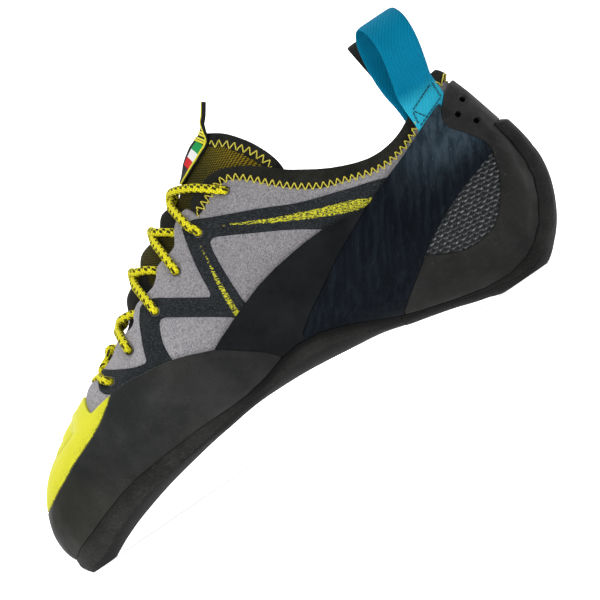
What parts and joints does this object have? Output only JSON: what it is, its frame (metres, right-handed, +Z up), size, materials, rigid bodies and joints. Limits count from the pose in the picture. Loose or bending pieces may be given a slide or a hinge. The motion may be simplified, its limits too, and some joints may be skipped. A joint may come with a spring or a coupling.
{
  "type": "climbing shoe",
  "caption": "Lace-up rock climbing shoe with a hollow suede upper, rubber rand, moulded toe patch, tension band, heel cup, split soles and two webbing pull loops.",
  "frame": {"origin": "on the floor under the middle of the shoe's bounding box, with the shoe standing on its toe and heel", "axes": "+X from toe to heel, -Y to the lateral side, +Y to the medial side, +Z up"},
  "size_m": [0.2582, 0.0882, 0.1367],
  "materials": {
    "suede": "grey-mauve napped suede and microfibre",
    "board": "dark lasting board and lining",
    "sole_rubber": "black sole rubber, sanded edge",
    "rand_rubber": "matt black rand rubber",
    "toe_rubber": "moulded lime-yellow rubber",
    "arch_rubber": "matt greenish-black rubber",
    "band_rubber": "blue-black satin rubber band",
    "grip_rubber": "dark grey scaly gripping rubber",
    "tongue_mesh": "black and olive mesh, black edge",
    "lace": "round yellow braid with black flecks",
    "blue_webbing": "blue woven webbing",
    "black_webbing": "black woven webbing",
    "ribbon": "black ribbon with yellow, green, white and red stripes"
  },
  "bodies": {
    "root": {"upper": "suede", "insole": "board", "outsole": "sole_rubber", "heel_sole": "sole_rubber", "heel_cup": "rand_rubber", "rand": "rand_rubber", "toe_patch": "toe_rubber", "arch_rubber_lateral": "arch_rubber", "tension_band_lateral": "band_rubber", "heel_patch_lateral": "grip_rubber", "arch_rubber_medial": "arch_rubber", "tension_band_medial": "band_rubber", "heel_patch_medial": "grip_rubber", "tongue": "tongue_mesh", "lace_bar": "lace", "lace_cross_1": "lace", "lace_cross_2": "lace", "lace_cross_3": "lace", "lace_cross_4": "lace", "lace_cross_5": "lace", "pull_loop_lateral": "blue_webbing", "pull_loop_medial": "black_webbing", "tongue_tab": "ribbon"}
  },
  "joints": []
}
